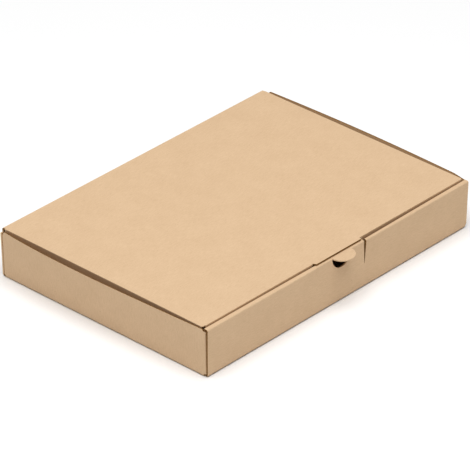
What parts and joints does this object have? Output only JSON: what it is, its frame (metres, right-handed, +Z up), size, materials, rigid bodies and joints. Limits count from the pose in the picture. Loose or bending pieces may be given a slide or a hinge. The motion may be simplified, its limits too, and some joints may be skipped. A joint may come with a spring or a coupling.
{
  "type": "flat mailer box",
  "caption": "Flat closed mailer box of brown corrugated card: a folded tray with a rolled-over front wall, and a hinged tuck-in lid whose tongue rests on a slit front tab with a thumb hole.",
  "frame": {"origin": "centre of the base's underside, between the straight feet of the walls", "axes": "+X along the long side, to the right seen from the front; -Y out of the front wall with the thumb tab; +Z up"},
  "size_m": [0.3575, 0.2616, 0.05],
  "materials": {
    "kraft_card": "matt brown kraft corrugated board"
  },
  "bodies": {
    "tray": {"tray": "kraft_card"},
    "lid": {"lid": "kraft_card"}
  },
  "joints": [
    {"name": "lid_hinge", "type": "hinge", "parent": "tray", "child": "lid", "pos_m": [0, 0.12471, 0.04971], "axis": [-1, 0, 0], "range_deg": [0, 180]}
  ]
}
